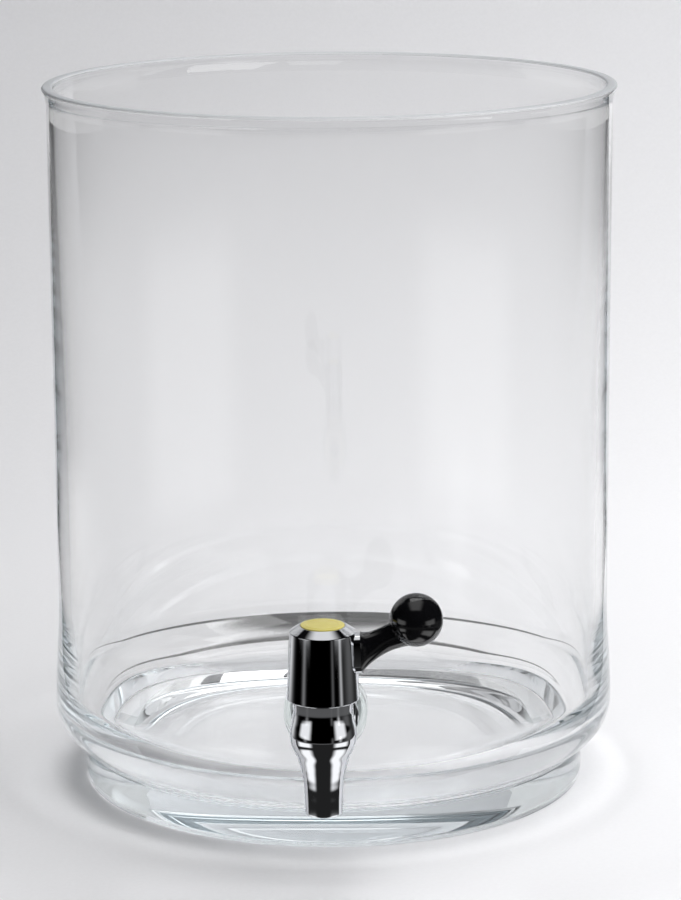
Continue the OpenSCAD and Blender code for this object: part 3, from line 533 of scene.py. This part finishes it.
# The dark card material is painted shadow: a near-black sheet that only the glass shows, in place of a
# shadow on the table.
dark = bare("painted_shadow_card")
cover = node(dark, "Attribute", attribute_name="level").outputs["Fac"]
open_air = node(dark, "BsdfTransparent").outputs["BSDF"]
shadow_tone = node(dark, "Emission", {"Strength": 0.08}).outputs["Emission"]
masked = node(dark, "MixShader", {0: cover, 1: open_air, 2: shadow_tone}).outputs["Shader"]
node(dark, "OutputMaterial", {"Surface": masked})


def smooth(x, start, end):
    """A step from 0 at the start to 1 at the end, without corners."""
    t = np.clip((x - start) / (end - start), 0, 1)
    return t * t * (3 - 2 * t)


def card(name, points, level, material, mirrored=True):
    """A sheet from a grid of points in mm, which only mirrors or only the glass shows: a painted reflection,
    or painted light or a painted shadow seen through the glass. The level at each point says how much the
    material glows or covers."""
    made = sheet_of(name, points, material)
    made.data.attributes.new("level", "FLOAT", "POINT").data.foreach_set("value", level.ravel())
    made.visible_camera = made.visible_diffuse = made.visible_shadow = False
    made.visible_glossy, made.visible_transmission = mirrored, not mirrored


# Floor card: a painted reflection for the spout and bulb. It shows bright floor near the tap and bright
# pools to either side, and it is dark in front of the tap and between them.
around, reach = np.meshgrid(np.radians(np.linspace(-104, 104, 105)), np.linspace(4, 240, 60))
side = np.degrees(np.abs(around))
near = smooth(reach, 94, 74) * smooth(side, 34, 58) * (1 - 0.6 * smooth(side, 82, 102))
far = smooth(reach, 116, 140) * smooth(reach, 230, 190) * smooth(side, 32, 50) * smooth(side, 100, 80)
card("floor_card", np.stack([
    reach * np.sin(around), TAP_Y - reach * np.cos(around), FLOOR_CARD_Z + 0 * reach,
], -1), 0.02 + 1.3 * near + 1.3 * far + 0.12 * smooth(reach, 200, 236), painted_glow)
# Upright card: painted reflections. It gives soft vertical streaks round the tap and a bright band at either
# side, which the bulb and cap mirror.
around, high = np.meshgrid(np.radians(np.linspace(-150, 150, 301)), np.linspace(-150, 200, 36))
side = np.degrees(np.abs(around))
streaks = sum(
    strength * np.exp(-((np.degrees(around) - centre) / width) ** 2) for centre, width, strength in
    [(-128, 14, 0.8), (-61, 6, 0.2), (33, 4, 0.1), (61, 5, 0.5), (97, 20, 0.12), (146, 12, 0.5)]
) * smooth(high, -130, -40) * smooth(high, 70, 20)
top = smooth(high, -15, 25) * smooth(high, 200, 140) * smooth(side, 36, 52) * smooth(side, 92, 76)
card("upright_card", np.stack([
    UPRIGHT_R * np.sin(around), TAP_Y - UPRIGHT_R * np.cos(around), high,
], -1), streaks + 1.1 * top + 0.12 * smooth(high, -70, -110), painted_glow)
# Overhead card: a painted reflection of a bright ceiling on the cap's top edge, the ball's top and the lip.
across, deep = np.meshgrid(np.linspace(-600, 600, 41), np.linspace(-1000, 400, 41))
fade = smooth(np.abs(across), 600, 200) * smooth(deep, -1000, -700) * smooth(deep, 400, 100)
card("overhead_card", np.stack([across, deep, OVERHEAD_Z + 0 * deep], -1), 0.9 * fade, painted_glow)
# Side panels: painted light that only the glass shows. It brightens the ends of the foot.
along, high = np.meshgrid([0, 1], [PANEL_FROM, PANEL_TO])
for hand in (-1, 1):
    card("side_panel", np.stack([
        hand * (PANEL_X + PANEL_WIDE * along), PANEL_Y - PANEL_DEEP * along, high,
    ], -1), 0.72 + 0 * high, painted_glow, mirrored=False)
# A painted shadow ring lies on the table behind the vessel. It is seen only through the glass and darkens a
# line in the heel.
around, off = np.meshgrid(np.radians(np.linspace(-80, 80, 121)), np.linspace(-SHADOW_W / 2, SHADOW_W / 2, 15))
side = np.degrees(np.abs(around))
cut_off = smooth(np.abs(off), SHADOW_W / 2, SHADOW_W / 2 - SHADOW_EDGE) * smooth(side, 75, 45)
card("painted_shadow_ring", np.stack([
    (SHADOW_R + off) * np.sin(around), SHADOW_Y + (SHADOW_R + off) * np.cos(around), SHADOW_Z + 0 * off,
], -1), 0.95 * cut_off, dark, mirrored=False)


# Soft boxes: a wide panel overhead gives most of the light, and smaller boxes stand at the right and the
# front. Mirrors show none of them, and past them the room is dark.
def soft_box(name, place, aim, size, power, refracted=True):
    """A rectangular soft box of the given width and height in metres, turned to face its aim."""
    lamp = bpy.data.lights.new(name, "AREA")
    lamp.shape = "RECTANGLE"
    lamp.size, lamp.size_y = size
    lamp.energy = power
    made = bpy.data.objects.new(name, lamp)
    made.location = place
    made.rotation_euler = (Vector(aim) - Vector(place)).to_track_quat("-Z", "Y").to_euler()
    made.visible_glossy = False
    made.visible_transmission = refracted
    bpy.context.scene.collection.objects.link(made)


soft_box("ceiling_panel", (0.45, 0, 2.2), (0.45, 0, 0), (2.2, 2.4), 35)
soft_box("right_front_box", (1.0, -0.8, 1.0), (0, 0, 0), (0.9, 0.9), 9)
soft_box("right_high_box", (1.0, 0.3, 1.0), (0, 0.1, 0), (0.8, 0.8), 3)
soft_box("right_back_box", (0.75, 0.85, 0.6), (0, 0, 0.1), (0.8, 0.6), 4, refracted=False)
soft_box("front_fill", (0.2, -1.3, 1.3), (0, -0.1, 0), (0.6, 0.6), 2)
world = bpy.data.worlds.new("dark_studio")
world.use_nodes = True
room = world.node_tree.nodes["Background"].inputs
room["Color"].default_value = colour("#3c3c40")
room["Strength"].default_value = 0.1
bpy.context.scene.world = world

# Camera: a long lens, a little above the lip and looking down, as in the photograph. Colours are shown
# without a film curve, and light may bounce often enough to cross the thick glass.
DISTANCE, CAMERA_Z, SENSOR_MM, FOCAL_PX, FRAME_PX, BOUNCES = 1.433, 0.481, 36, 3245.6, 900, 64
SIDE, PITCH, YAW, ROLL = (math.radians(v) for v in (1.55, 13.04, 0.156, -0.36))
swing = np.array([[math.cos(SIDE), -math.sin(SIDE), 0], [math.sin(SIDE), math.cos(SIDE), 0], [0, 0, 1]])
ahead = np.array([math.sin(YAW) * math.cos(PITCH), math.cos(YAW) * math.cos(PITCH), -math.sin(PITCH)])
level = np.array([math.cos(YAW), -math.sin(YAW), 0])
above = np.cross(level, ahead)
right = math.cos(ROLL) * level + math.sin(ROLL) * above
up = -math.sin(ROLL) * level + math.cos(ROLL) * above
lens = bpy.data.cameras.new("long_lens")
lens.sensor_width = SENSOR_MM
lens.lens = FOCAL_PX / FRAME_PX * SENSOR_MM
lens.clip_start, lens.clip_end = 0.05, 20
camera = bpy.data.objects.new("camera", lens)
axes = swing @ np.stack([right, up, -ahead], -1)
stand = Matrix.Translation(swing @ np.array([0, -DISTANCE, CAMERA_Z]))
camera.matrix_world = stand @ Matrix(axes.tolist()).to_4x4()
bpy.context.scene.collection.objects.link(camera)
bpy.context.scene.camera = camera
view = bpy.context.scene
view.view_settings.view_transform = "Standard"
view.view_settings.exposure = 0.0
view.cycles.max_bounces = view.cycles.transmission_bounces = view.cycles.glossy_bounces = BOUNCES
view.cycles.diffuse_bounces = 4
view.cycles.blur_glossy = 0.0
view.cycles.sample_clamp_indirect = 0
